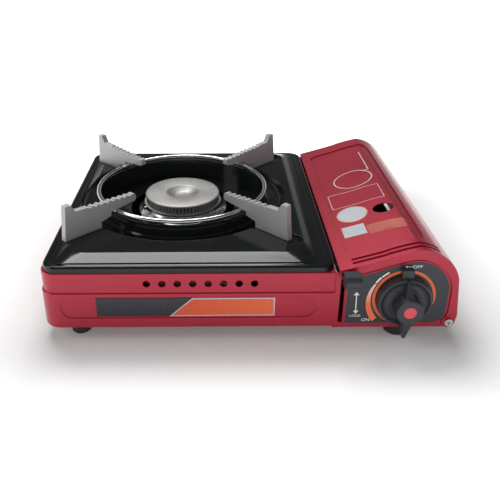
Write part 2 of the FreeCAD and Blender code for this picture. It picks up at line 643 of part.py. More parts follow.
def make_burner():
    x, y = burner_x, burner_y
    head_top = cap_top - cap_thickness
    head_low = head_top - port_height
    cap = revolved([
        (0, cap_top - 5.4), ((6.5, cap_top - 4.9), (12.0, cap_top - 2.6)), (15.6, cap_top - 0.4),
        (17.4, cap_top - 0.4), (18.4, cap_top - 1.0), (cap_radius - 3.4, cap_top - 1.0),
        (cap_radius - 2.6, cap_top), (cap_radius - 0.8, cap_top), (cap_radius, cap_top - 0.8),
        (cap_radius, head_top), (28.0, head_top), (28.0, head_top - 2.0), (0, head_top - 2.0 - 3.0),
    ], x, y)
    pieces["burner_cap"] = cap
    ring = revolved([
        (28.1, head_top), (cap_radius - 1.0, head_top), (cap_radius - 1.0, head_low),
        (lip_radius, head_low - 0.2), (lip_radius, head_low - 1.6), (33.0, head_low - 3.2),
        (28.1, head_low - 3.2),
    ], x, y)
    for index in range(port_count):
        angle = 360.0 * index / port_count
        slot = box(31.0, -port_width / 2, head_top - 3.4, cap_radius + 1, port_width / 2, head_top + 1)
        slot.rotate(V(0, 0, 0), V(0, 0, 1), angle)
        slot.translate(V(x, y, 0))
        ring = ring.cut(slot)
    pieces["burner_head"] = ring
    seat = head_low - 3.2
    skirt_top = head_low - 1.6
    skirt = revolved([
        (34.6, seat - 0.4), (36.4, skirt_top - 0.6), (37.2, skirt_top - 0.6), ((38.0, skirt_bottom + 2.4), (skirt_radius, skirt_bottom)),
        (skirt_radius, skirt_bottom - 1.0), (skirt_radius - 1.4, skirt_bottom - 1.0), ((36.8, skirt_bottom + 1.2), (34.6, seat - 2.4)),
    ], x, y)
    skirt = skirt.cut(cylinder(electrode_radius + 0.8, electrode_point(40), electrode_point(80)))
    pieces["burner_skirt"] = skirt
    cup = revolved([
        (0, floor_z + 1.6), (stem_outer - 3, floor_z + 1.6), (stem_outer - 3, seat - 19.8), (31.0, seat - 11.8), (31.0, seat),
        (34.4, seat), (34.4, seat - 12.8), (stem_outer, seat - 22.8), (stem_outer, floor_z + 2.4), (22, floor_z + 2.4),
        (22, floor_z), (0, floor_z),
    ], x, y)
    along = tube_direction()
    centre = V(x, y, tube_z)
    cup = cup.cut(cylinder(tube_radius, centre, centre + along * 30))
    pieces["burner_base"] = cup
    screws = []
    for angle in (90, 210, 330):
        sx = x + 18.2 * math.cos(math.radians(angle))
        sy = y + 18.2 * math.sin(math.radians(angle))
        screws.append(cylinder(2.6, V(sx, sy, floor_z + 2.4), V(sx, sy, floor_z + 4.4)))
    pieces["burner_screws"] = Part.makeCompound(screws)

    start = centre + along * (stem_outer - 2.6)
    mouth = V(jet_x, jet_y, tube_z) - along * 9.0
    tube = cylinder(tube_radius, start, mouth)
    bell = Part.makeCone(tube_radius, tube_radius + 2.6, 7.0, mouth - along * 7.0, along)
    tube = tube.fuse(bell)
    tube = tube.cut(cylinder(tube_radius - tube_wall, start - along * 1, mouth + along * 1))
    tube = tube.cut(Part.makeCone(tube_radius - tube_wall, tube_radius + 1.4, 7.2, mouth - along * 7.1, along))
    pieces["mixing_tube"] = tube
    sleeve_start = mouth - along * 14.2
    sleeve_end = sleeve_start + along * 6.8
    sleeve = cylinder(tube_radius + 1.2, sleeve_start, sleeve_end)
    sleeve = sleeve.cut(cylinder(tube_radius, sleeve_start - along, sleeve_end + along))
    port_at = sleeve_start + along * 3.4
    sleeve = sleeve.cut(cylinder(2.2, port_at, port_at + V(0, 0, 20)))
    pieces["air_shutter"] = sleeve


electrode_radius = 2.8
electrode_offset = 43.0
electrode_bearing = math.radians(217.0)


def electrode_point(z):
    return V(burner_x + electrode_offset * math.cos(electrode_bearing),
             burner_y + electrode_offset * math.sin(electrode_bearing), z)


def make_electrode():
    foot_z = cap_top - 28.5
    neck_z = cap_top - 11.0
    top_z = cap_top - 8.0
    ceramic = cylinder(electrode_radius, electrode_point(foot_z), electrode_point(neck_z))
    ceramic = ceramic.fuse(cylinder(electrode_radius - 1.0, electrode_point(neck_z), electrode_point(top_z)))
    pieces["electrode_ceramic"] = ceramic
    inward = V(-math.cos(electrode_bearing), -math.sin(electrode_bearing), 0)
    tip_start = electrode_point(top_z)
    bend = tip_start + V(0, 0, 3.0)
    needle = cylinder(0.7, tip_start, bend)
    needle = needle.fuse(cylinder(0.7, bend, bend + inward * 4.0))
    needle = needle.fuse(Part.makeSphere(0.7, bend))
    pieces["electrode_needle"] = needle
    strip_z = foot_z + 6.0
    bracket = box(34.4, -5, strip_z, electrode_offset + electrode_radius + 3.0, 5, strip_z + 1.2)
    bracket = bracket.fuse(box(34.4, -5, strip_z, 35.4, 5, strip_z + 8.0))
    bracket.rotate(V(0, 0, 0), V(0, 0, 1), math.degrees(electrode_bearing))
    bracket.translate(V(burner_x, burner_y, 0))
    bracket = bracket.cut(pieces["burner_base"])
    bracket = bracket.cut(cylinder(electrode_radius, electrode_point(foot_z), electrode_point(cap_top)))
    pieces["electrode_bracket"] = bracket
    low = electrode_point(foot_z)
    start = V(igniter_left + 6, 43, 50.5)
    points = [start, V(start.x, lead_y, start.z), V(start.x, lead_y, lead_z), V(low.x, lead_y, lead_z),
              V(low.x, low.y, lead_z), low]
    pieces["ignition_lead"] = bent_tube(points, lead_radius, lead_bend)


lead_bend = 7.0


def bent_tube(points, radius, bend):
    # Straight runs joined by tangent arcs.
    edges = []
    here = points[0]
    for before, corner, after in zip(points, points[1:], points[2:]):
        back = (before - corner).normalize()
        ahead = (after - corner).normalize()
        start = corner + back * bend
        end = corner + ahead * bend
        middle = corner + (back + ahead) * (bend * (1 - math.sqrt(0.5)))
        edges.append(Part.LineSegment(here, start).toShape())
        edges.append(Part.Arc(start, middle, end).toShape())
        here = end
    edges.append(Part.LineSegment(here, points[-1]).toShape())
    profile = Part.Wire([Part.makeCircle(radius, points[0], points[1] - points[0])])
    return Part.Wire(edges).makePipeShell([profile], True, False)


def make_top_plate():
    def plate_body(inset, drop):
        # The solid under the plate's outer surface, drawn in by the sheet thickness.
        rim = rounded_slab(plate_left + inset, plate_front + inset, plate_right - inset, plate_back - inset,
                           plate_skirt_bottom - 1 + (1 if not inset else 0), plate_rim_z - drop,
                           plate_corner - inset)
        low = rounded_wire(plateau_left - slope_run, plateau_front - slope_front, plateau_right + slope_run,
                           plateau_back + slope_run, plate_corner - 2, plate_rim_z - drop - 0.01)
        high = rounded_wire(plateau_left, plateau_front, plateau_right, plateau_back, plateau_corner,
                            plateau_z - drop)
        hill = Part.makeLoft([low, high], True, True)
        rim = rounded_ends(rim, plate_rim_z - drop, rim_radius - inset)
        hill = rounded_ends(hill, plateau_z - drop, plateau_round)
        return rim.fuse(hill)

    outer = plate_body(0.0, 0.0)
    inner = plate_body(sheet, sheet)
    x, y = burner_x, burner_y

    def well(offset):
        # Upright-axis solid that stands for the well's air, offset for the sheet's underside.
        r = well_radius + offset
        z = well_floor_z - offset
        return revolved([
            (0, z), (r - 9.0, z), ((r - 4.2, z + 1.6), (r - 2.0, z + 5.2)), (r, plateau_z), (r, plateau_z + 20),
            (0, plateau_z + 20),
        ], x, y)

    under_well = revolved([
        (0, well_floor_z - sheet), (well_radius - 8.0, well_floor_z - sheet),
        ((well_radius - 3.2, well_floor_z + 0.6), (well_radius - 1.0, well_floor_z + 4.2)),
        (well_radius + 1.0, plateau_z), (well_radius + 1.0, plateau_z + 20), (0, plateau_z + 20),
    ], x, y)
    outer = outer.cut(well(0.0))
    inner = inner.cut(under_well)
    for angle in (45, 135, 225, 315):
        pocket = foot_pocket(angle, 0.0)
        outer = outer.cut(pocket)
        inner = inner.cut(foot_pocket(angle, sheet))
    plate = outer.cut(inner)
    plate = plate.cut(cylinder(well_hole_radius, V(x, y, 40), V(x, y, 90)))
    groove = rounded_slab(plate_left + 5.0, plate_front + 4.0, plate_right - 5.0, plate_back - 4.0,
                          plate_rim_z - 0.4, plate_rim_z + 1, plate_corner - 4)
    groove = groove.cut(rounded_slab(plate_left + 6.4, plate_front + 5.4, plate_right - 6.4, plate_back - 5.4,
                                     plate_rim_z - 1, plate_rim_z + 2, plate_corner - 5))
    plate = plate.cut(groove)
    pieces["top_plate"] = plate.removeSplitter()

    wall = sheet
    r = collar_radius
    flange_radius = well_radius - 10.6
    collar = revolved([
        (reflector_hole, reflector_z), (r, reflector_z), (r, well_floor_z), (flange_radius, well_floor_z),
        (flange_radius, well_floor_z + wall), (r + 1.5, well_floor_z + wall), (r, well_floor_z + wall + 1.5),
        (r, collar_top - 0.6), (r + 0.6, collar_top), (r - wall, collar_top), (r - wall, reflector_z + wall),
        (reflector_hole, reflector_z + wall),
    ], x, y)
    pieces["windshield"] = collar


rim_radius = 2.2
plateau_round = 5.0
plate_corner = 13.0
plateau_corner = 18.0
slope_run = 8.0
slope_front = 14.0


def rounded_wire(x0, y0, x1, y1, radius, z):
    slab = rounded_slab(x0, y0, x1, y1, z, z + 1, radius)
    bottom = [f for f in slab.Faces if f.BoundBox.ZMax < z + 0.01]
    return bottom[0].OuterWire


def foot_pocket(angle, offset):
    # A shallow rounded recess that each arm's foot stands in.
    half = arm_thickness / 2 + 5.0
    start = well_radius - 4
    end = arm_foot_outer + 4.0
    low = foot_pocket_z - offset
    pocket = box(start, -half - offset, low, end, half + offset, plateau_z + 20)
    pocket = pocket.fuse(cylinder(half + offset, V(end, 0, low), V(end, 0, plateau_z + 20)))
    pocket.rotate(V(0, 0, 0), V(0, 0, 1), angle)
    pocket.translate(V(burner_x, burner_y, 0))
    return pocket


def make_pot_support():
    ring = Part.makeTorus(ring_radius, wire_radius, V(burner_x, burner_y, ring_z))
    pieces["support_ring"] = ring
    names = {45: "arm_rear_right", 135: "arm_rear_left", 225: "arm_front_left", 315: "arm_front_right"}
    foot_inner = well_radius - 1.6
    steps = [
        (arm_foot_outer, arm_foot_z), (arm_outer, arm_horn_z), (arm_outer - 5.4, arm_horn_z),
        (arm_outer - 9.4, arm_top_outer), (arm_inner + 2.0, arm_top_inner),
        ((arm_inner + 0.6, arm_top_inner - 0.6), (arm_inner, arm_top_inner - 2.0)),
        (arm_inner, arm_top_inner - 5.5), (arm_inner + 1.6, arm_top_inner - 6.9),
        (86.0, ring_z + 1.5), (86.0, ring_z - 2.0), (foot_inner, ring_z - 4.5), (foot_inner, arm_foot_z),
    ]
    arm = wire_face(steps, lambda u, v: V(u, -arm_thickness / 2, v)).extrude(V(0, arm_thickness, 0))
    slope = (arm_top_outer - arm_top_inner) / (arm_outer - 9.4 - arm_inner - 2.0)
    for index in range(tooth_count):
        r = arm_inner + 6.0 + index * tooth_pitch
        z = arm_top_inner + (r - arm_inner - 2.0) * slope + 0.7
        arm = arm.cut(cylinder(1.9, V(r, -10, z), V(r, 10, z)))
    for angle, name in names.items():
        placed = arm.copy()
        placed.rotate(V(0, 0, 0), V(0, 0, 1), angle)
        placed.translate(V(burner_x, burner_y, 0))
        pieces[name] = placed.cut(ring)


make_tray()
make_feet()
make_partition()
make_lid()
make_pivot_screws()
make_panel()
make_knob()
make_lever()
make_carriage()
make_governor()
make_igniter()
make_burner()
make_electrode()
make_top_plate()
make_pot_support()

total = 0
for name, shape in pieces.items():
    shape.translate(origin)
    shape.exportStep("parts/" + name + ".step")
    solids = len(shape.Solids)
    total += 1
    print(name, "solids", solids, "valid", shape.isValid(), "volume", round(shape.Volume, 1))
print("nodes", total, "origin shift", origin)
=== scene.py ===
# Looks of a portable butane cassette stove: finishes, printed marks, burner, studio light and camera.
import json
import math

import bpy
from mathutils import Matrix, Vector


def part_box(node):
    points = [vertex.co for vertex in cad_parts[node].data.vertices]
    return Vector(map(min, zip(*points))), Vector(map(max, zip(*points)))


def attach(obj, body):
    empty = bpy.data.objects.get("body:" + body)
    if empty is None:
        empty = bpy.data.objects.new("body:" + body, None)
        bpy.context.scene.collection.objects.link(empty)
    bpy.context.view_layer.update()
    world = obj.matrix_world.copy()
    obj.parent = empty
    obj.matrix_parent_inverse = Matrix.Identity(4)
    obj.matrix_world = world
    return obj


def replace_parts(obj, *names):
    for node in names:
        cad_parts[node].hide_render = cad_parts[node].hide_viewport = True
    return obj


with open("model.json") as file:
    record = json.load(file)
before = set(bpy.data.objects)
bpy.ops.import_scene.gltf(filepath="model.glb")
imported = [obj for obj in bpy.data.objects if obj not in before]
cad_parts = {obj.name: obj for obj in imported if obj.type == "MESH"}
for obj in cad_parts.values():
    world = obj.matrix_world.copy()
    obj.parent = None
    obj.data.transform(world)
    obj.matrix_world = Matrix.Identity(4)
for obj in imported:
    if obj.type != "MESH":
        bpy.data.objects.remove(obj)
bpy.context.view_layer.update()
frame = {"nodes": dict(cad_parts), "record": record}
nodes = frame["nodes"]

# Sizes and places are in millimetres from the tray's front left corner on the ground.
# SHIFT and MM take them to the row frame, which is in metres.
SHIFT = Vector((-168.4, -120.5, 0.0))
MM = 0.001

# Control panel and its prints
PANEL_Y = -0.8
FILM = 0.06
FILM_GAP = 0.01
RING_CENTRE = (291.4, 39.0)
RING_INNER = 22.9
RING_OUTER = 25.3
RING_TAPER = 1.9
DASH_INNER = 26.5
LEVER_ARROW_WIDTH = 0.8
OFF_ARROW_Z = 67.3
OFF_ARROW_WIDTH = 0.5
CAPITAL_SHARE = 0.69

# Front label
LABEL_SPLIT_X = 113.5
LABEL_SLANT = 1.1
LABEL_BAND = 1.1
LABEL_STRIPE = 0.7

# Lid prints
LID_DROP_Z = 95.0
LID_FILM_GAP = 0.05
LINE = 0.6
WIDE_LINE = 0.9

# Burner
BURNER = (108.8, 135.8)
CAP_TOP = 72.5
CAP_MARK_RADIUS = 30.4
CAP_MARK_THICK = 0.3
TEETH = 66
TOOTH_HALF_SHARE = 0.27
TOOTH_PROFILE = ((32.0, 64.6), (35.2, 64.6), (35.2, 70.5), (32.0, 70.5))

# Footprint of the stove on the floor, round which the floor's glow fades to paint shade, and how far the
# floor takes to reach full white
FOOT_HALF_X = 166.0
FOOT_HALF_Y = 128.0
FOOT_MIDDLE_Y = 9.5
WHITE_REACH = 200.0
FLOOR_REACH = 3000.0
FLOOR_DROP = 0.2


def place(x, y, z):
    return (Vector((x, y, z)) + SHIFT) * MM


# Node helpers

def add(tree, kind, inputs=None, **settings):
    """A new node with its settings; an input is either a value or another node's socket."""
    node = tree.nodes.new(kind)
    for key, value in settings.items():
        setattr(node, key, value)
    for key, value in (inputs or {}).items():
        if isinstance(value, bpy.types.NodeSocket):
            tree.links.new(value, node.inputs[key])
        else:
            node.inputs[key].default_value = value
    return node


def calc(tree, operation, a, b=0.0):
    return add(tree, "ShaderNodeMath", {0: a, 1: b}, operation=operation).outputs[0]


def blend_colour(tree, factor, a, b):
    return add(tree, "ShaderNodeMix", {0: factor, 6: a, 7: b}, data_type="RGBA").outputs[2]


def noise(tree, coords, scale, detail=3.0, roughness=0.55):
    inputs = {"Vector": coords, "Scale": scale, "Detail": detail, "Roughness": roughness}
    return add(tree, "ShaderNodeTexNoise", inputs).outputs["Fac"]


def spread(tree, value, low, high, to_low, to_high):
    inputs = {0: value, 1: low, 2: high, 3: to_low, 4: to_high}
    return add(tree, "ShaderNodeMapRange", inputs, clamp=True).outputs[0]


def object_coords(tree):
    return add(tree, "ShaderNodeTexCoord").outputs["Object"]


def split_axes(tree, coords):
    return add(tree, "ShaderNodeSeparateXYZ", {0: coords}).outputs


def grain_bump(tree, shader, height, depth, normal=None):
    """A fine bump of the given depth in millimetres, over the given normal."""
    inputs = {"Strength": 1.0, "Distance": depth * MM, "Height": height}
    if normal:
        inputs["Normal"] = normal
    tree.links.new(add(tree, "ShaderNodeBump", inputs).outputs[0], shader.inputs["Normal"])


def rounded_edges(tree, radius):
    return add(tree, "ShaderNodeBevel", {"Radius": radius * MM}, samples=4).outputs[0]


def new_material(name):
    material = bpy.data.materials.new(name)
    material.use_nodes = True
    tree = material.node_tree
    return material, tree, tree.nodes["Principled BSDF"]


# Materials

def finish(name, tone, tone_2, rough, metallic=0.0, grain=900.0, depth=0.02, patch=22.0,
           edge=0.4, rough_range=0.06, edge_highlight=0.0, fine_share=0.5, **sockets):
    """A finish with two tones in patches and grain, a grain bump, uneven gloss and rounded edges with a
    painted highlight.

    grain and patch are noise scales per metre, depth and edge are in millimetres.
    """
    material, tree, shader = new_material(name)
    coords = object_coords(tree)
    fine = noise(tree, coords, grain, 2.0)
    broad = noise(tree, coords, patch, 4.0)
    fine_part = calc(tree, "MULTIPLY", fine, fine_share)
    broad_part = calc(tree, "MULTIPLY", broad, 1 - fine_share)
    mixed = calc(tree, "ADD", fine_part, broad_part)
    colour = blend_colour(tree, spread(tree, mixed, 0.35, 0.65, 0.0, 1.0), (*tone, 1), (*tone_2, 1))
    round_normal = rounded_edges(tree, edge)
    # Painted highlight: the rounded edges get a lighter tone of the finish's own colour.
    if edge_highlight:
        flat = add(tree, "ShaderNodeNewGeometry").outputs["Normal"]
        both = {0: round_normal, 1: flat}
        turn = add(tree, "ShaderNodeVectorMath", both, operation="DOT_PRODUCT").outputs["Value"]
        edge_highlight_mask = spread(tree, turn, 0.97, 0.72, 0.0, edge_highlight)
        light = tuple(min(1.0, c * 1.9 + 0.03) for c in tone)
        colour = blend_colour(tree, edge_highlight_mask, colour, (*light, 1))
    gloss = spread(tree, broad, 0.3, 0.7, rough - rough_range, rough + rough_range)
    tree.links.new(colour, shader.inputs["Base Color"])
    tree.links.new(gloss, shader.inputs["Roughness"])
    grain_bump(tree, shader, fine, depth, round_normal)
    shader.inputs["Metallic"].default_value = metallic
    for key, value in sockets.items():
        shader.inputs[key.replace("_", " ")].default_value = value
    return material


def thin_ink(name, tone, tone_2, rough, grain=1600.0, patch=90.0):
    """Ink or sticker film, nearly flat, with barely rounded edges."""
    return finish(name, tone, tone_2, rough, grain=grain, depth=0.004, patch=patch, edge=0.05)


def red_paint():
    """Metallic lacquer under a thin clear coat, with a painted highlight that makes the edges slightly
    lighter.
    """
    return finish("red_paint", (0.36, 0.010, 0.030), (0.44, 0.016, 0.042), rough=0.38, metallic=0.45,
                  grain=5200.0, depth=0.0015, patch=9.0, edge=0.6, rough_range=0.04, edge_highlight=0.18,
                  fine_share=0.7, Coat_Weight=0.35, Coat_Roughness=0.07)


def black_enamel():
    """Baked black enamel with a fine orange peel."""
    return finish("black_enamel", (0.0052, 0.0062, 0.0068), (0.0075, 0.009, 0.0098), rough=0.12,
                  grain=300.0, depth=0.0015, patch=14.0, edge=0.6, rough_range=0.03, edge_highlight=0.06,
                  fine_share=0.35, Specular_IOR_Level=0.36)


def label_film():
    """Printed film in two colours, split by a slant, with pale metallic bands round the right part."""
    material, tree, shader = new_material("label_film")
    coords = object_coords(tree)
    axes = split_axes(tree, coords)
    low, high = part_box("front_label")
    middle = (low.z + high.z) / 2
    split = place(LABEL_SPLIT_X, 0, 0).x - LABEL_SLANT * middle
    slant = calc(tree, "ADD", axes[0], calc(tree, "MULTIPLY", axes[2], -LABEL_SLANT))
    right = calc(tree, "GREATER_THAN", slant, split)
    from_split = calc(tree, "ABSOLUTE", calc(tree, "SUBTRACT", slant, split))
    stripe = calc(tree, "LESS_THAN", from_split, LABEL_STRIPE * MM)
    across = spread(tree, axes[0], split, high.x, 0.0, 1.0)
    upward = spread(tree, axes[2], low.z, high.z, 0.0, 1.0)
    orange = blend_colour(tree, across, (0.56, 0.055, 0.018, 1), (0.74, 0.13, 0.035, 1))
    dark = blend_colour(tree, upward, (0.010, 0.011, 0.016, 1), (0.020, 0.022, 0.032, 1))
    colour = blend_colour(tree, right, dark, orange)
    from_left = calc(tree, "SUBTRACT", axes[0], low.x)
    from_right = calc(tree, "SUBTRACT", high.x, axes[0])
    from_below = calc(tree, "SUBTRACT", axes[2], low.z)
    from_above = calc(tree, "SUBTRACT", high.z, axes[2])
    inside_x = calc(tree, "MINIMUM", from_left, from_right)
    inside_z = calc(tree, "MINIMUM", from_below, from_above)
    band = calc(tree, "LESS_THAN", calc(tree, "MINIMUM", inside_x, inside_z), LABEL_BAND * MM)
    silver = calc(tree, "MAXIMUM", calc(tree, "MULTIPLY", band, right), stripe)
    colour = blend_colour(tree, silver, colour, (0.50, 0.48, 0.56, 1))
    fine = noise(tree, coords, 1400.0)
    tree.links.new(colour, shader.inputs["Base Color"])
    tree.links.new(calc(tree, "MULTIPLY", silver, 0.8), shader.inputs["Metallic"])
    tree.links.new(spread(tree, fine, 0.3, 0.7, 0.22, 0.34), shader.inputs["Roughness"])
    grain_bump(tree, shader, fine, 0.004)
    return material


def crescent_ink():
    """Orange ink that pales to pink white towards the top of the flame scale."""
    material, tree, shader = new_material("crescent_ink")
    coords = object_coords(tree)
    height = split_axes(tree, coords)[2]
    fine = noise(tree, coords, 1600.0)
    pale = spread(tree, height, 33 * MM, 52 * MM, 0.0, 1.0)
    colour = blend_colour(tree, pale, (0.83, 0.165, 0.055, 1), (0.86, 0.72, 0.70, 1))
    tree.links.new(colour, shader.inputs["Base Color"])
    tree.links.new(spread(tree, fine, 0.3, 0.7, 0.35, 0.5), shader.inputs["Roughness"])
    return material


def spangled_zinc():
    """Galvanised sheet with grey crystals of different brightness."""
    material, tree, shader = new_material("zinc_steel")
    coords = object_coords(tree)
    cells = add(tree, "ShaderNodeTexVoronoi", {"Vector": coords, "Scale": 260.0, "Randomness": 1.0})
    shade = add(tree, "ShaderNodeSeparateColor", {0: cells.outputs["Color"]}).outputs[0]
    fine = noise(tree, coords, 1500.0)
    colour = blend_colour(tree, shade, (0.40, 0.41, 0.42, 1), (0.56, 0.57, 0.58, 1))
    tree.links.new(colour, shader.inputs["Base Color"])
    tree.links.new(spread(tree, shade, 0.0, 1.0, 0.28, 0.42), shader.inputs["Roughness"])
    shader.inputs["Metallic"].default_value = 1.0
    grain_bump(tree, shader, fine, 0.008, rounded_edges(tree, 0.3))
    return material


materials = {
    "red_paint": red_paint(),
    "black_enamel": black_enamel(),
    "label_film": label_film(),
    "zinc_steel": spangled_zinc(),
    "crescent_ink": crescent_ink(),
    "panel_print": finish(
        "panel_print", (0.024, 0.028, 0.035), (0.030, 0.034, 0.042), rough=0.42, grain=1800.0,
        depth=0.006, patch=30.0, edge=0.2, rough_range=0.05, edge_highlight=0.1),
    "screw_steel": finish(
        "screw_steel", (0.60, 0.60, 0.60), (0.72, 0.72, 0.73), rough=0.24, metallic=1.0,
        grain=1500.0, depth=0.01, patch=120.0, edge=0.3),
    "die_cast": finish(
        "die_cast", (0.46, 0.46, 0.47), (0.55, 0.55, 0.56), rough=0.42, metallic=0.9, depth=0.03,
        patch=40.0, edge=0.5),
    "rubber": finish(
        "rubber", (0.014, 0.014, 0.015), (0.024, 0.024, 0.025), rough=0.68, grain=1400.0,
        patch=60.0, edge=0.5, edge_highlight=0.2),
    "brass": finish(
        "brass", (0.62, 0.42, 0.16), (0.72, 0.50, 0.20), rough=0.26, metallic=1.0, grain=1500.0,
        depth=0.008, patch=50.0, edge=0.3),
    "black_plastic": finish(
        "black_plastic", (0.022, 0.025, 0.030), (0.029, 0.032, 0.038), rough=0.46, grain=2600.0,
        depth=0.012, patch=40.0, edge=0.5, rough_range=0.05, edge_highlight=0.18),
    "red_plastic": finish(
        "red_plastic", (0.66, 0.06, 0.085), (0.74, 0.085, 0.115), rough=0.36, grain=1600.0,
        depth=0.006, patch=60.0, edge=0.3, rough_range=0.05, edge_highlight=0.1),
    "burner_alloy": finish(
        "burner_alloy", (0.30, 0.295, 0.285), (0.42, 0.41, 0.395), rough=0.46, metallic=0.75,
        grain=1500.0, depth=0.04, patch=45.0, rough_range=0.07, edge_highlight=0.25, fine_share=0.75),
    # Near black: painted shade for the core seen through the ports.
    "port_shade": finish(
        "port_shade", (0.012, 0.011, 0.010), (0.02, 0.018, 0.017), rough=0.8, metallic=0.2,
        grain=1500.0, patch=60.0),
    "burner_mark": finish(
        "burner_mark", (0.52, 0.515, 0.505), (0.62, 0.61, 0.60), rough=0.4, metallic=0.8,
        grain=1500.0, patch=60.0),
    "burner_polish": finish(
        "burner_polish", (0.44, 0.44, 0.45), (0.56, 0.56, 0.57), rough=0.24, metallic=1.0,
        depth=0.008, patch=50.0),
    "ceramic": finish(
        "ceramic", (0.78, 0.77, 0.74), (0.86, 0.85, 0.83), rough=0.30, grain=1100.0, depth=0.008,
        patch=90.0, edge=0.3, Coat_Weight=0.5),
    "lead_cover": finish(
        "lead_cover", (0.60, 0.59, 0.56), (0.70, 0.69, 0.66), rough=0.55, grain=1500.0, patch=80.0),
    "ring_steel": finish(
        "ring_steel", (0.66, 0.66, 0.65), (0.78, 0.78, 0.77), rough=0.17, metallic=1.0,
        grain=1400.0, depth=0.008, patch=35.0, edge=0.2),
    "cast_alloy": finish(
        "cast_alloy", (0.34, 0.34, 0.35), (0.50, 0.50, 0.51), rough=0.52, metallic=0.55,
        grain=1350.0, depth=0.05, patch=35.0, edge=0.5, edge_highlight=0.45, fine_share=0.75),
    "white_ink": thin_ink("white_ink", (0.80, 0.80, 0.80), (0.88, 0.88, 0.88), 0.45),
    "orange_ink": thin_ink("orange_ink", (0.76, 0.125, 0.035), (0.86, 0.17, 0.055), 0.42),
    "lid_ink": thin_ink("lid_ink", (0.66, 0.53, 0.52), (0.76, 0.66, 0.64), 0.35, patch=120.0),
    "sticker_pale": thin_ink("sticker_pale", (0.52, 0.56, 0.60), (0.62, 0.64, 0.66), 0.35, 700.0, 70.0),
    "sticker_rim": thin_ink("sticker_rim", (0.62, 0.30, 0.12), (0.70, 0.38, 0.18), 0.35, 900.0, 70.0),
    "sticker_amber": thin_ink("sticker_amber", (0.50, 0.10, 0.075), (0.56, 0.14, 0.10), 0.32, 700.0, 60.0),
}


# Construction nodes: each gets its material, and clean shading by the angle between its faces

WELD_DISTANCE = 0.002
SHARP_ANGLE = 32


def dress_node(piece, material):
    mesh = piece.data
    mesh.materials.clear()
    mesh.materials.append(material)
    for name in ("custom_normal", "sharp_face", "sharp_edge"):
        if name in mesh.attributes:
            mesh.attributes.remove(mesh.attributes[name])
    weld = piece.modifiers.new("weld", "WELD")
    weld.merge_threshold = WELD_DISTANCE * MM
    split = piece.modifiers.new("split", "EDGE_SPLIT")
    split.split_angle = math.radians(SHARP_ANGLE)


for row in frame["record"]["subparts"]:
    dress_node(nodes[row["node"]], materials[row["material_slot"]])


# Piece helpers

def new_piece(name, verts, faces, material, body):
    """A mesh object that rides on a body and takes its finish from a slot."""
    mesh = bpy.data.meshes.new(name)
    mesh.from_pydata(verts, [], faces)
    mesh.update()
    mesh.materials.append(materials[material])
    piece = bpy.data.objects.new(name, mesh)
    bpy.context.scene.collection.objects.link(piece)
    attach(piece, body)
    return piece


def grid_faces(rows):
    """Faces of a grid of points, numbered row by row."""
    wide = len(rows[0])
    faces = []
    for i in range(len(rows) - 1):
        for j in range(wide - 1):
            start = i * wide + j
            faces.append((start, start + 1, start + wide + 1, start + wide))
    return faces


def film(name, rows, spot, body, material, thick=FILM, out=(0, -1, 0)):
    """A thin printed film from a grid of points, each put in space by spot; out is the way it faces."""
    wide = len(rows[0])
    tall = len(rows)
    under = [spot(u, v) for line in rows for u, v in line]
    lift = Vector(out) * thick * MM
    verts = [point + lift for point in under] + under
    count = len(under)
    faces = []
    for a, b, c, d in grid_faces(rows):
        faces.append((a, b, c, d))
        faces.append((d + count, c + count, b + count, a + count))
    rim = list(range(wide))
    rim += [i * wide + wide - 1 for i in range(1, tall)]
    rim += [(tall - 1) * wide + j for j in range(wide - 2, -1, -1)]
    rim += [i * wide for i in range(tall - 2, 0, -1)]
    for k, a in enumerate(rim):
        b = rim[(k + 1) % len(rim)]
        faces.append((b, a, a + count, b + count))
    return new_piece(name, verts, faces, material, body)


def arc_rows(centre, start, end, inner, outer, steps=48):
    """Grid rows of an arc band; inner and outer give the radii along it, from 0 to 1."""
    rows = []
    for i in range(steps + 1):
        share = i / steps
        angle = math.radians(start + (end - start) * share)
        ray = (math.cos(angle), math.sin(angle))
        rows.append([(centre[0] + r(share) * ray[0], centre[1] + r(share) * ray[1]) for r in (inner, outer)])
    return rows


def line_rows(start, end, width):
    """Grid rows of a straight line of the given width."""
    length = math.hypot(end[0] - start[0], end[1] - start[1])
    nx = -(end[1] - start[1]) / length * width / 2
    nz = (end[0] - start[0]) / length * width / 2
    return [[(x + nx, z + nz), (x - nx, z - nz)] for x, z in (start, end)]


# Panel prints

def on_panel(u, v):
    return place(u, PANEL_Y - FILM_GAP, v)


def panel_film(name, rows, ink="white_ink"):
    return film(name, rows, on_panel, "tray", ink)


def words(name, text, x, z, height, stretch):
    """Generic lettering on the control panel, centred on x, z."""
    curve = bpy.data.curves.new(name, "FONT")
    curve.body = text
    curve.size = height / CAPITAL_SHARE * MM
    curve.align_x = "CENTER"
    curve.align_y = "CENTER"
    curve.extrude = FILM / 2 * MM
    curve.materials.append(materials["white_ink"])
    piece = bpy.data.objects.new(name, curve)
    bpy.context.scene.collection.objects.link(piece)
    piece.location = place(x, PANEL_Y - FILM / 2 - FILM_GAP, z)
    piece.rotation_euler = (math.pi / 2, 0, 0)
    piece.scale = (stretch, 1, 1)
    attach(piece, "tray")
    return piece


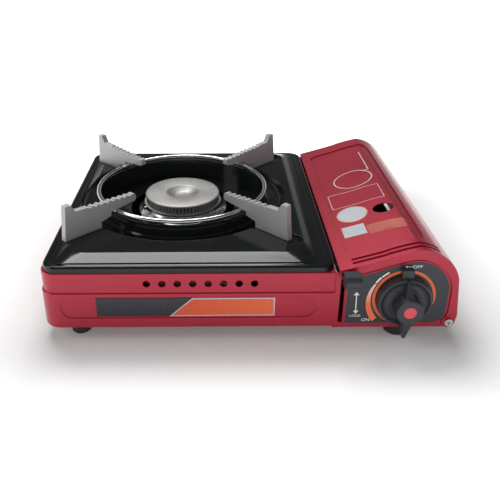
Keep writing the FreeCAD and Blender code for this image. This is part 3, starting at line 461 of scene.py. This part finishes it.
def make_panel_prints():
    """The ring round the knob, the flame scale beside it, two arrows and three words."""
    panel_film("knob_ring_print",
               arc_rows(RING_CENTRE, -16, 245, lambda s: RING_INNER + RING_TAPER * max(0.0, 1 - s * 9),
                        lambda s: RING_OUTER), "orange_ink")
    panel_film("flame_scale_print",
               arc_rows(RING_CENTRE, 152, 224, lambda s: 26.3 + 1.6 * s * s,
                        lambda s: 27.6 + 5.2 * s ** 0.9), "crescent_ink")
    panel_film("flame_dash_low",
               arc_rows(RING_CENTRE, 137.5, 150, lambda s: DASH_INNER, lambda s: DASH_INNER + 1.6, 8))
    panel_film("flame_dash_high",
               arc_rows(RING_CENTRE, 121.5, 136, lambda s: DASH_INNER, lambda s: DASH_INNER + 1.3, 8))
    panel_film("lever_arrow_line", line_rows((253.3, 42.0), (253.9, 25.6), LEVER_ARROW_WIDTH))
    panel_film("lever_arrow_up", [[(253.2, 44.2), (253.2, 44.2)], [(250.9, 41.2), (255.6, 41.4)]])
    panel_film("lever_arrow_down", [[(251.7, 26.6), (256.3, 26.7)], [(254.0, 23.6), (254.0, 23.6)]])
    panel_film("off_arrow_line",
               line_rows((290.6, OFF_ARROW_Z), (294.6, OFF_ARROW_Z), OFF_ARROW_WIDTH))
    panel_film("off_arrow_head",
               [[(289.0, OFF_ARROW_Z), (289.0, OFF_ARROW_Z)],
                [(291.0, OFF_ARROW_Z - 1), (291.0, OFF_ARROW_Z + 1)]])
    words("word_off", "OFF", 298.8, 67.2, 2.7, 1.15)
    words("word_on", "ON", 262.5, 17.6, 2.6, 1.15)
    words("word_lock", "LOCK", 253.9, 21.6, 2.0, 1.2)


make_panel_prints()


# Lid prints and stickers

def lid_film(name, rows, material):
    """A film that drops onto the lid's top from above."""
    points = [place(u, v, LID_DROP_Z) for line in rows for u, v in line]
    piece = new_piece(name, points, grid_faces(rows), material, "lid")
    wrap = piece.modifiers.new("wrap", "SHRINKWRAP")
    wrap.target = nodes["lid"]
    wrap.wrap_method = "PROJECT"
    wrap.use_project_z = True
    wrap.use_negative_direction = True
    wrap.use_positive_direction = False
    wrap.offset = LID_FILM_GAP * MM
    thick = piece.modifiers.new("thick", "SOLIDIFY")
    thick.thickness = FILM * MM
    thick.offset = 1.0
    return piece


def round_rows(centre, radii, inner, outer, rings, steps=72):
    """Grid rows of an oval band; inner and outer are shares of its radii."""
    shares = [inner + (outer - inner) * k / rings for k in range(rings + 1)]
    rows = []
    for i in range(steps + 1):
        angle = 2 * math.pi * i / steps
        ray = (radii[0] * math.cos(angle), radii[1] * math.sin(angle))
        rows.append([(centre[0] + s * ray[0], centre[1] + s * ray[1]) for s in shares])
    return rows


def box_rows(x0, y0, x1, y1, skew=0.0, steps=24):
    """Grid rows of a four-sided patch whose right side is moved by skew."""
    rows = []
    for i in range(steps + 1):
        x = x0 + (x1 - x0) * i / steps
        shift = skew * (x - x0) / (x1 - x0)
        rows.append([(x, y0 + shift), (x, y1 + shift)])
    return rows


def make_lid_prints():
    """A ring, a framed box and a corner line, with two stickers and an amber strip."""
    lid_film("lid_ring_print", round_rows((278.4, 159.0), (18.6, 19.2), 0.94, 1.0, 1), "lid_ink")
    left, right, near, far = 250.0, 297.0, 105.0, 135.0
    corner_x, corner_y = 296.8, 173.0
    lines = (
        (left, near, right, near + LINE),
        (left, far - LINE, right, far),
        (left, near + LINE, left + LINE, far - LINE),
        (right - LINE, near + LINE, right, far - LINE),
        (corner_x - WIDE_LINE, corner_y, corner_x, corner_y + 50.0),
        (corner_x - 7.6, corner_y - WIDE_LINE, corner_x, corner_y),
    )
    for index, corners in enumerate(lines):
        lid_film(f"lid_line_print_{index}", box_rows(*corners), "lid_ink")
    spot, radii = (264.2, 87.5), (13.4, 14.6)
    lid_film("round_sticker", round_rows(spot, radii, 0.02, 0.93, 6), "sticker_pale")
    lid_film("round_sticker_rim", round_rows(spot, radii, 0.93, 1.0, 1), "sticker_rim")
    lid_film("square_sticker", box_rows(251.0, 48.6, 269.8, 66.6), "sticker_pale")
    lid_film("amber_sticker", box_rows(271.2, 45.5, 302.0, 61.5, -3.0), "sticker_amber")


make_lid_prints()


# Burner

def shade_piece(piece, smooth=True, bevel=0.0, angle=35):
    """Smooth or flat faces, edges bevelled by a size in millimetres, and a split at sharp turns."""
    for polygon in piece.data.polygons:
        polygon.use_smooth = smooth
    if bevel:
        rounder = piece.modifiers.new("edges", "BEVEL")
        rounder.width = bevel * MM
        rounder.segments = 2
        rounder.angle_limit = math.radians(30)
    split = piece.modifiers.new("split", "EDGE_SPLIT")
    split.split_angle = math.radians(angle)
    return piece


def lathe(name, profile, material, centre=BURNER, steps=144, bevel=0.0):
    """A closed profile of radius and height turned about the upright axis through centre."""
    count = len(profile)
    verts = []
    for i in range(steps):
        turn = 2 * math.pi * i / steps
        for r, z in profile:
            verts.append(place(centre[0] + r * math.cos(turn), centre[1] + r * math.sin(turn), z))
    faces = []
    for i in range(steps):
        here = i * count
        after = (i + 1) % steps * count
        for j in range(count):
            k = (j + 1) % count
            faces.append((here + j, after + j, after + k, here + k))
    return shade_piece(new_piece(name, verts, faces, material, "tray"), bevel=bevel)


def make_cap():
    """The cap: a flat ring with a rounded rim and a conical bowl in the middle."""
    profile = [
        (0.01, 68.6), (7.4, 68.6), (8.2, 68.9), (15.0, 72.0), (15.5, 72.4), (16.2, CAP_TOP),
        (33.9, CAP_TOP), (35.0, 72.25), (35.6, 71.6), (35.6, 70.9), (35.1, 70.4), (34.0, 70.2),
        (20.0, 70.1), (14.0, 68.6), (0.01, 67.6),
    ]
    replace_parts(lathe("cap_dish", profile, "burner_alloy"), "burner_cap")


def make_teeth():
    """The row of port teeth under the cap, each a small block with softened edges."""
    corners = len(TOOTH_PROFILE)
    verts = []
    faces = []
    for index in range(TEETH):
        base = len(verts)
        for side in (-TOOTH_HALF_SHARE, TOOTH_HALF_SHARE):
            turn = 2 * math.pi * (index + side) / TEETH
            for r, z in TOOTH_PROFILE:
                verts.append(place(BURNER[0] + r * math.cos(turn), BURNER[1] + r * math.sin(turn), z))
        faces.append((base, base + 1, base + 2, base + 3))
        faces.append((base + 7, base + 6, base + 5, base + 4))
        for k in range(corners):
            n = (k + 1) % corners
            faces.append((base + k, base + k + corners, base + n + corners, base + n))
    teeth = new_piece("port_teeth", verts, faces, "burner_alloy", "tray")
    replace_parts(shade_piece(teeth, smooth=False, bevel=0.15), "burner_head")


def make_ports():
    """The core seen between the teeth, near black as painted shade in the ports, and the lip below them."""
    core = [(30.0, 64.0), (32.4, 64.0), (32.4, 70.3), (30.0, 70.3)]
    lip = [
        (31.0, 62.6), (36.2, 62.9), (37.0, 63.3), (37.2, 63.9), (36.9, 64.5), (36.2, 64.8), (31.0, 64.9),
    ]
    lathe("port_core", core, "port_shade")
    lathe("port_lip", lip, "burner_alloy")


def make_skirt():
    """The polished collar that flares out below the ports."""
    profile = [
        (35.4, 63.1), (36.1, 63.1), (36.3, 62.2), (36.9, 61.0), (38.1, 59.7), (39.8, 58.5), (41.6, 57.6),
        (42.5, 57.2), (42.5, 56.7), (41.4, 56.9), (39.4, 57.9), (37.5, 59.2), (36.1, 60.7), (35.4, 62.0),
    ]
    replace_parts(lathe("skirt_flare", profile, "burner_polish"), "burner_skirt")


def make_cap_marks():
    """Small raised crescents near the edge of the cap."""
    marks = ((62, 13), (108, 13), (15, 11), (215, 6), (325, 9))
    for index, (turn, length) in enumerate(marks):
        rows = arc_rows(BURNER, turn, turn + length, lambda s: CAP_MARK_RADIUS,
                        lambda s: CAP_MARK_RADIUS + 1.5 * math.sin(math.pi * s) + 0.15, 12)
        film(f"cap_mark_{index}", rows, lambda u, v: place(u, v, CAP_TOP - 0.02), "tray",
             "burner_mark", CAP_MARK_THICK, (0, 0, 1))


def make_electrode_boot():
    """The stepped ceramic boot that stands where the plain one does."""
    low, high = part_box("electrode_ceramic")
    axis = ((low.x + high.x) / 2 / MM - SHIFT.x, (low.y + high.y) / 2 / MM - SHIFT.y)
    top = high.z / MM
    profile = [
        (0.01, top - 17), (2.6, top - 17), (2.7, top - 8.5), (4.4, top - 8.2), (4.6, top - 6.4),
        (3.4, top - 5.9), (3.2, top - 2.0), (2.2, top - 1.5), (1.9, top), (0.01, top),
    ]
    boot = lathe("electrode_ceramic_boot", profile, "ceramic", axis, 48, 0.25)
    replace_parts(boot, "electrode_ceramic")


make_cap()
make_teeth()
make_ports()
make_skirt()
make_cap_marks()
make_electrode_boot()


# Floor, world, lamps and camera

def away_from_foot(tree):
    """Distance along the floor from the stove's footprint, in metres."""
    axes = split_axes(tree, object_coords(tree))
    beside = calc(tree, "SUBTRACT", calc(tree, "ABSOLUTE", axes[0]), FOOT_HALF_X * MM)
    from_middle = calc(tree, "SUBTRACT", axes[1], FOOT_MIDDLE_Y * MM)
    along = calc(tree, "SUBTRACT", calc(tree, "ABSOLUTE", from_middle), FOOT_HALF_Y * MM)
    past_x = calc(tree, "MAXIMUM", beside, 0.0)
    past_y = calc(tree, "MAXIMUM", along, 0.0)
    square_x = calc(tree, "MULTIPLY", past_x, past_x)
    square_y = calc(tree, "MULTIPLY", past_y, past_y)
    return calc(tree, "SQRT", calc(tree, "ADD", square_x, square_y))


def floor_material():
    """Pale matt floor that camera, glossy and clear rays see as white away from the stove."""
    material, tree, shader = new_material("floor")
    tree.nodes.remove(shader)
    tone = blend_colour(tree, noise(tree, object_coords(tree), 3.0), (0.79, 0.79, 0.79, 1),
                        (0.81, 0.81, 0.81, 1))
    plain = add(tree, "ShaderNodeBsdfDiffuse", {"Color": tone})
    # Painted shade: the glow is nil under the stove and grows to full white at WHITE_REACH, so the floor
    # round the stove is darker than the real shadow alone makes it.
    level = spread(tree, away_from_foot(tree), 0.0, WHITE_REACH * MM, 0.0, 1.0)
    glow = add(tree, "ShaderNodeEmission", {"Color": (1, 1, 1, 1), "Strength": level})
    lit = add(tree, "ShaderNodeAddShader", {0: plain.outputs[0], 1: glow.outputs[0]})
    path = add(tree, "ShaderNodeLightPath").outputs
    mirrored = calc(tree, "MAXIMUM", path["Is Glossy Ray"], path["Is Transmission Ray"])
    seen = calc(tree, "MAXIMUM", path["Is Camera Ray"], mirrored)
    both = add(tree, "ShaderNodeMixShader", {0: seen, 1: plain.outputs[0], 2: lit.outputs[0]})
    tree.links.new(both.outputs[0], tree.nodes["Material Output"].inputs["Surface"])
    return material


def make_floor():
    reach = FLOOR_REACH * MM
    corners = [(-reach, -reach, 0), (reach, -reach, 0), (reach, reach, 0), (-reach, reach, 0)]
    mesh = bpy.data.meshes.new("floor")
    mesh.from_pydata(corners, [], [(0, 1, 2, 3)])
    mesh.materials.append(floor_material())
    floor = bpy.data.objects.new("floor", mesh)
    floor.location.z = -FLOOR_DROP * MM
    bpy.context.scene.collection.objects.link(floor)


def make_world():
    """A studio that is pale near the horizon and dark above, and plain white to camera and clear rays."""
    world = bpy.data.worlds.new("studio")
    bpy.context.scene.world = world
    world.use_nodes = True
    tree = world.node_tree
    background = tree.nodes["Background"]
    path = add(tree, "ShaderNodeLightPath").outputs
    up = split_axes(tree, add(tree, "ShaderNodeTexCoord").outputs["Generated"])[2]
    studio = spread(tree, up, 0.02, 0.34, 0.62, 0.10)
    seen = calc(tree, "MAXIMUM", path["Is Camera Ray"], path["Is Transmission Ray"])
    tree.links.new(blend_colour(tree, seen, studio, (1, 1, 1, 1)), background.inputs["Color"])
    background.inputs["Strength"].default_value = 1.0


def lamp(name, spot, target, size, power, mirrored=True):
    """A soft rectangular lamp; sizes and places in metres, power in watts."""
    light = bpy.data.lights.new(name, "AREA")
    light.shape = "RECTANGLE"
    light.size, light.size_y = size
    light.energy = power
    piece = bpy.data.objects.new(name, light)
    piece.visible_glossy = mirrored
    piece.location = spot
    piece.rotation_euler = (Vector(target) - Vector(spot)).to_track_quat("-Z", "Y").to_euler()
    bpy.context.scene.collection.objects.link(piece)


def make_camera():
    """The camera of the photograph; its shift is the little that the framing needs."""
    data = bpy.data.cameras.new("camera")
    data.lens = 44.62
    data.sensor_width = 36.0
    data.shift_x = 0.0502
    data.shift_y = -0.0600
    camera = bpy.data.objects.new("camera", data)
    camera.location = (-0.024645, -0.536181, 0.314414)
    camera.rotation_euler = (math.pi / 2 - 0.460, 0.0, -0.011)
    bpy.context.scene.collection.objects.link(camera)
    bpy.context.scene.camera = camera


make_floor()
make_world()
lamp("top_back", (-0.25, 0.75, 1.35), (0, 0.02, 0.05), (1.0, 0.6), 16.0)
lamp("front_fill", (0.1, -1.7, 0.75), (0, 0, 0.03), (1.5, 0.8), 15.0, mirrored=False)
lamp("left_side", (-1.3, -0.3, 0.8), (0, 0, 0.05), (0.6, 0.9), 5.0)
make_camera()

bpy.context.scene.view_settings.view_transform = "Standard"
